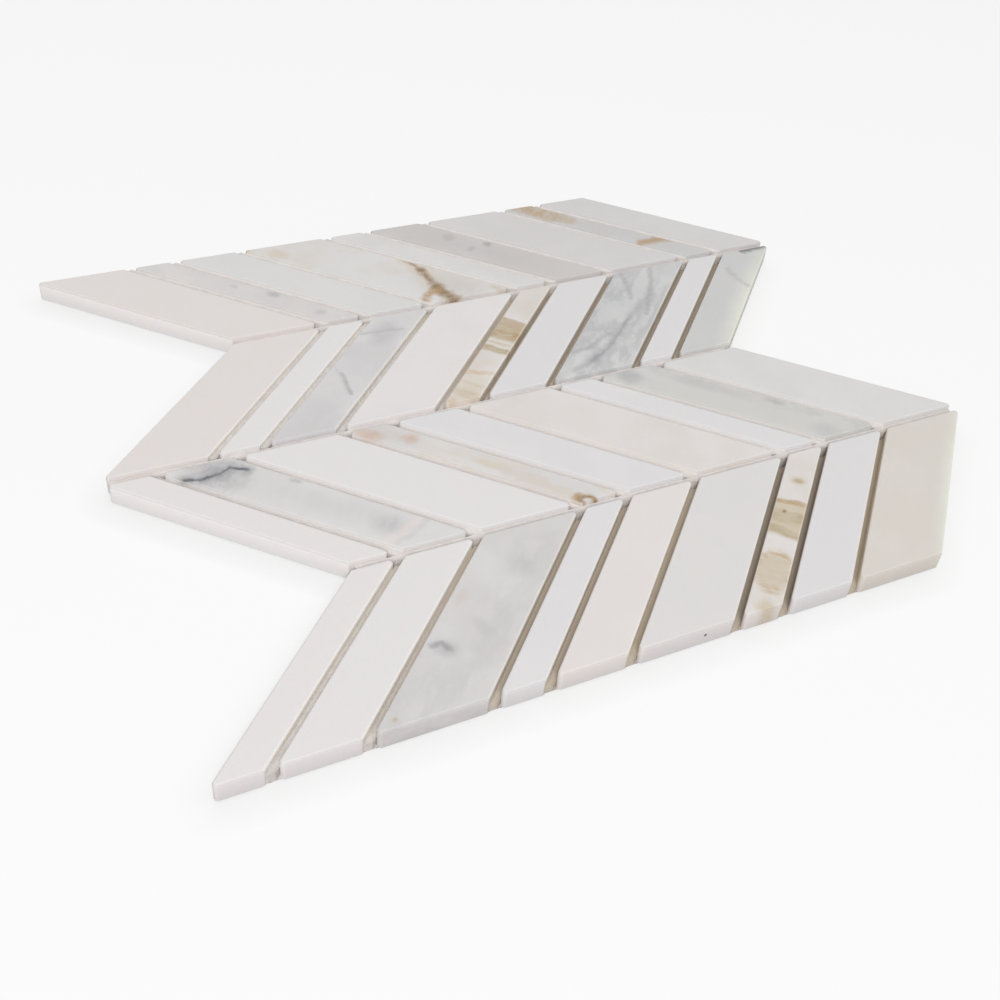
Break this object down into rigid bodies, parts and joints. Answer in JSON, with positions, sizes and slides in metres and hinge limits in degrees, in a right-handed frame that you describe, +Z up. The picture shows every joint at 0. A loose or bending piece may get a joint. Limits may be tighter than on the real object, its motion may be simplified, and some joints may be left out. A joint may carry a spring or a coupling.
{
  "type": "mosaic tile sheet",
  "caption": "Flat marble mosaic sheet of slanted chips in mitred rows on a net backing, with straight long edges and zigzag ends that interlock with the next sheet.",
  "frame": {"origin": "centre of the bounding box, on the underside of the net, where the sheet lies on the floor", "axes": "+X along the rows of chips, +Y across the rows towards the back, +Z up through the polished faces"},
  "size_m": [0.3756, 0.309, 0.0085],
  "materials": {
    "net": "matte",
    "white_marble": "honed",
    "cream_marble": "honed",
    "grey_marble": "honed",
    "gold_marble": "honed"
  },
  "bodies": {
    "root": {"net_backing": "net", "row_1_chip_1": "cream_marble", "row_1_chip_2": "white_marble", "row_1_chip_3": "grey_marble", "row_1_chip_4": "white_marble", "row_1_chip_5": "cream_marble", "row_1_chip_6": "cream_marble", "row_1_chip_7": "gold_marble", "row_1_chip_8": "white_marble", "row_1_chip_9": "cream_marble", "row_2_chip_1": "white_marble", "row_2_chip_2": "grey_marble", "row_2_chip_3": "white_marble", "row_2_chip_4": "gold_marble", "row_2_chip_5": "white_marble", "row_2_chip_6": "cream_marble", "row_2_chip_7": "white_marble", "row_2_chip_8": "grey_marble", "row_2_chip_9": "white_marble", "row_3_chip_1": "cream_marble", "row_3_chip_2": "white_marble", "row_3_chip_3": "grey_marble", "row_3_chip_4": "white_marble", "row_3_chip_5": "gold_marble", "row_3_chip_6": "white_marble", "row_3_chip_7": "grey_marble", "row_3_chip_8": "white_marble", "row_3_chip_9": "grey_marble", "row_4_chip_1": "grey_marble", "row_4_chip_2": "grey_marble", "row_4_chip_3": "white_marble", "row_4_chip_4": "gold_marble", "row_4_chip_5": "white_marble", "row_4_chip_6": "grey_marble", "row_4_chip_7": "white_marble", "row_4_chip_8": "gold_marble", "row_4_chip_9": "white_marble"}
  },
  "joints": []
}
